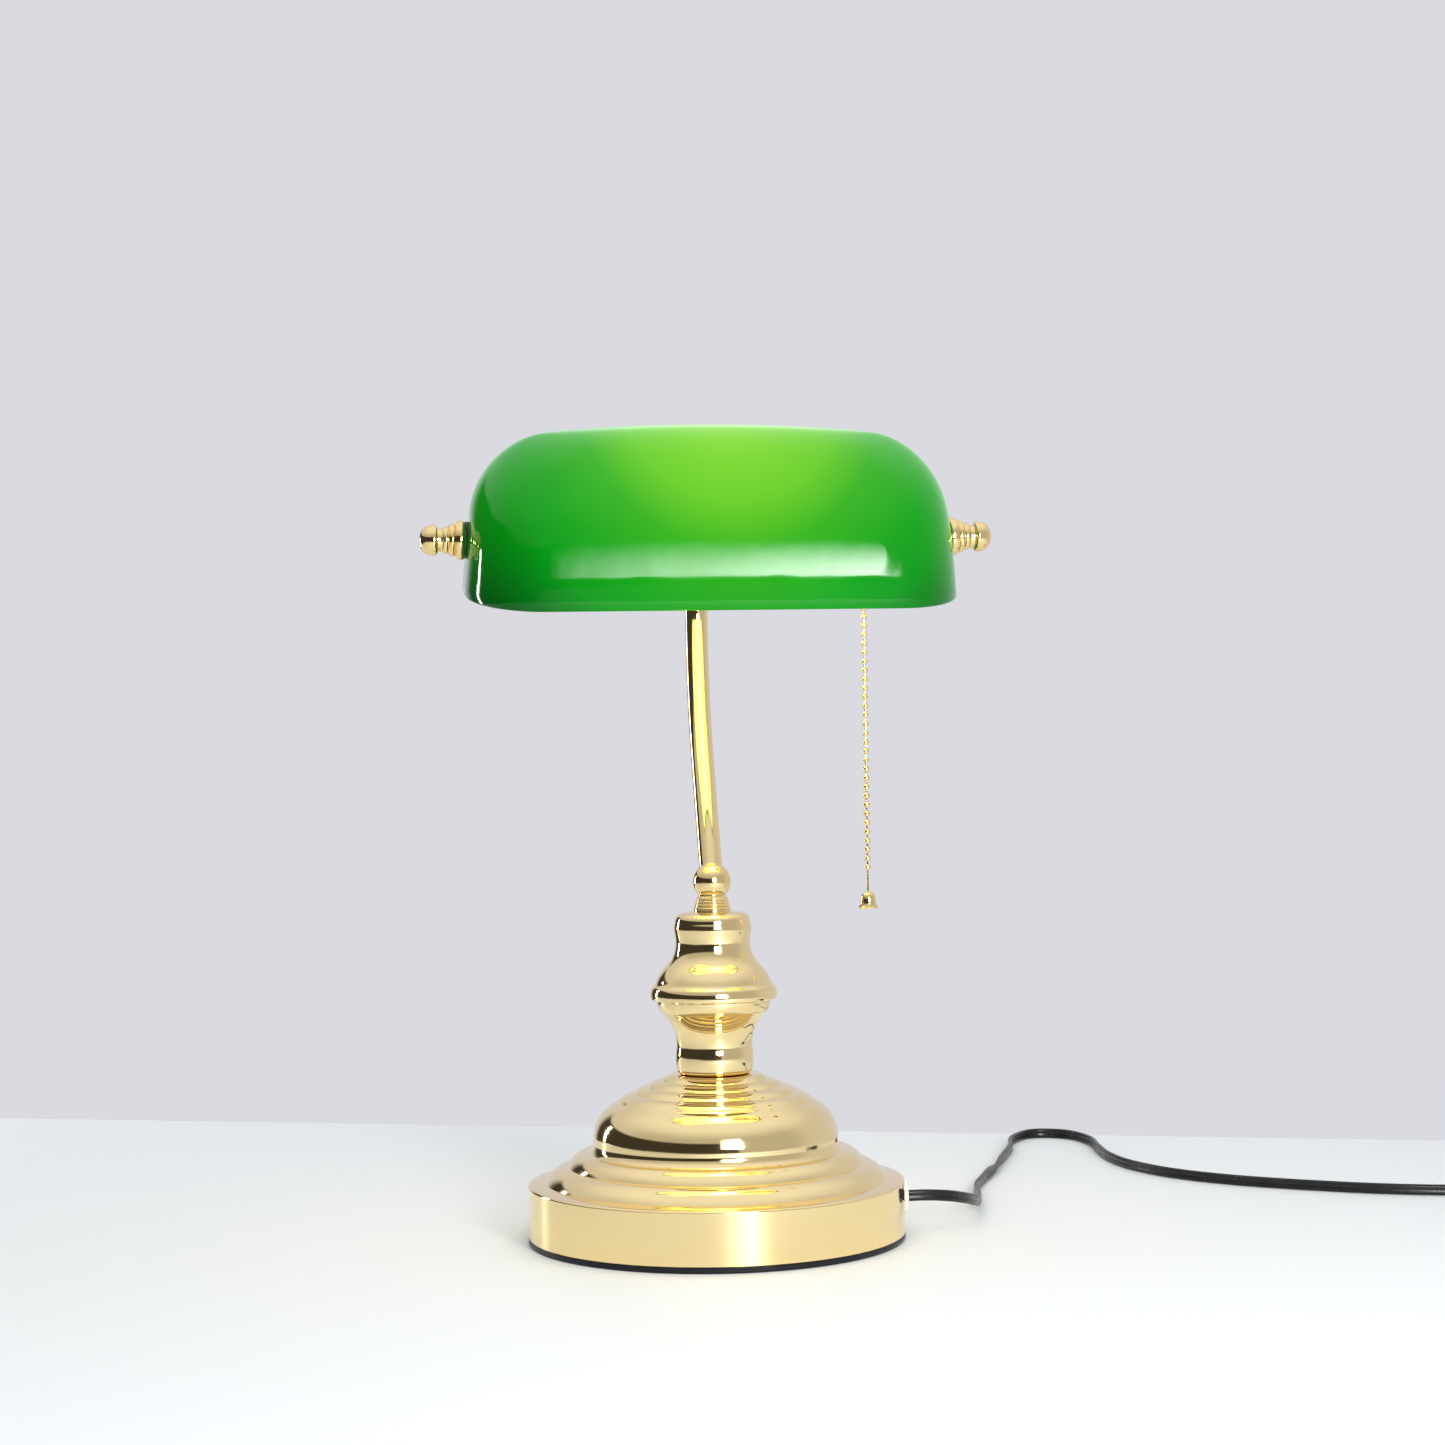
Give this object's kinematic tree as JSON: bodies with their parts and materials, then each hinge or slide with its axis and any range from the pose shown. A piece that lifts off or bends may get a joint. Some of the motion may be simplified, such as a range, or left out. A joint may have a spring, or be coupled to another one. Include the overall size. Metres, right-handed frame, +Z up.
{
  "type": "banker desk lamp",
  "caption": "Desk lamp with a round weighted brass base, a bent stem, a tilting green glass shade between two knobs, a pull-chain socket and a flat mains cord.",
  "frame": {"origin": "centre of the base, on the surface that it stands on", "axes": "+Z up, +X along the shade to the pull-chain end, -Y to the front"},
  "size_m": [0.6033, 0.3662, 0.3801],
  "materials": {
    "polished_brass": "mirror-polished, lacquered",
    "turned_brass": "mirror-polished, turned",
    "green_glass": "green over white opal, glossy",
    "black_rubber": "matt",
    "pad_rubber": "satin",
    "zinc_steel": "zinc plated",
    "iron": "as cast",
    "bushing_plastic": "translucent, moulded",
    "phenolic": "moulded",
    "fibre_liner": "pressed fibre",
    "aluminium": "rolled thread",
    "bulb_glass": "frosted inside",
    "lead_tin": "soldered",
    "cord_pvc": "semi-gloss PVC",
    "plug_pvc": "moulded PVC",
    "lead_pvc": "sleeved",
    "blade_brass": "stamped"
  },
  "bodies": {
    "frame": {"base_pad": "pad_rubber", "base_plate": "zinc_steel", "base_weight": "iron", "base_shell": "polished_brass", "cord_bushing": "bushing_plastic", "lamp_pipe": "zinc_steel", "pipe_washer": "zinc_steel", "pipe_nut": "zinc_steel", "column_lower": "polished_brass", "column_upper": "polished_brass", "stem_collar": "turned_brass", "stem_tube": "polished_brass", "arm_hub": "turned_brass", "hub_screws": "zinc_steel", "shade_arm": "polished_brass", "pivot_pipe_left": "zinc_steel", "pivot_pipe_right": "zinc_steel", "pivot_nuts": "zinc_steel", "socket_cap": "polished_brass", "socket_shell": "polished_brass", "socket_liner": "fibre_liner", "socket_body": "phenolic", "socket_thread": "aluminium", "socket_contact": "blade_brass", "chain_nozzle": "turned_brass", "inner_lead": "lead_pvc", "cord_lead": "cord_pvc", "cord_coil": "cord_pvc", "cord_tail": "cord_pvc", "plug_body": "plug_pvc", "plug_blades": "blade_brass"},
    "shade": {"shade_glass": "green_glass", "gasket_left": "black_rubber", "gasket_right": "black_rubber", "inner_washer_left": "black_rubber", "inner_washer_right": "black_rubber"},
    "left_knob": {"knob_left": "turned_brass"},
    "right_knob": {"knob_right": "turned_brass"},
    "bulb": {"bulb_glass": "bulb_glass", "bulb_base": "aluminium", "bulb_contact": "lead_tin"},
    "switch_pull": {"switch_slider": "zinc_steel", "chain_top": "turned_brass"},
    "chain_swing": {"chain_upper": "turned_brass"},
    "chain_end": {"chain_lower": "turned_brass", "chain_bell": "turned_brass"}
  },
  "joints": [
    {"name": "shade_tilt", "type": "hinge", "parent": "frame", "child": "shade", "pos_m": [0, -0.008, 0.328], "axis": [1, 0, 0], "range_deg": [-18, 35]},
    {"name": "left_knob_turn", "type": "hinge", "parent": "frame", "child": "left_knob", "pos_m": [-0.12, -0.008, 0.328], "axis": [-1, 0, 0], "continuous": true},
    {"name": "right_knob_turn", "type": "hinge", "parent": "frame", "child": "right_knob", "pos_m": [0.12, -0.008, 0.328], "axis": [1, 0, 0], "continuous": true},
    {"name": "bulb_turn", "type": "hinge", "parent": "frame", "child": "bulb", "pos_m": [0.037, -0.008, 0.328], "axis": [-1, 0, 0], "continuous": true},
    {"name": "chain_pull", "type": "slide", "parent": "frame", "child": "switch_pull", "axis": [0, 0, -1], "range_m": [0, 0.008], "stiffness_N_per_m": 300, "springref_m": -0.002},
    {"name": "chain_swing_front", "type": "hinge", "parent": "switch_pull", "child": "chain_swing", "pos_m": [0.073, -0.008, 0.2991], "axis": [1, 0, 0], "range_deg": [-25, 25]},
    {"name": "chain_swing_side", "type": "hinge", "parent": "chain_swing", "child": "chain_end", "pos_m": [0.073, -0.008, 0.2359], "axis": [0, 1, 0], "range_deg": [-25, 25]}
  ]
}
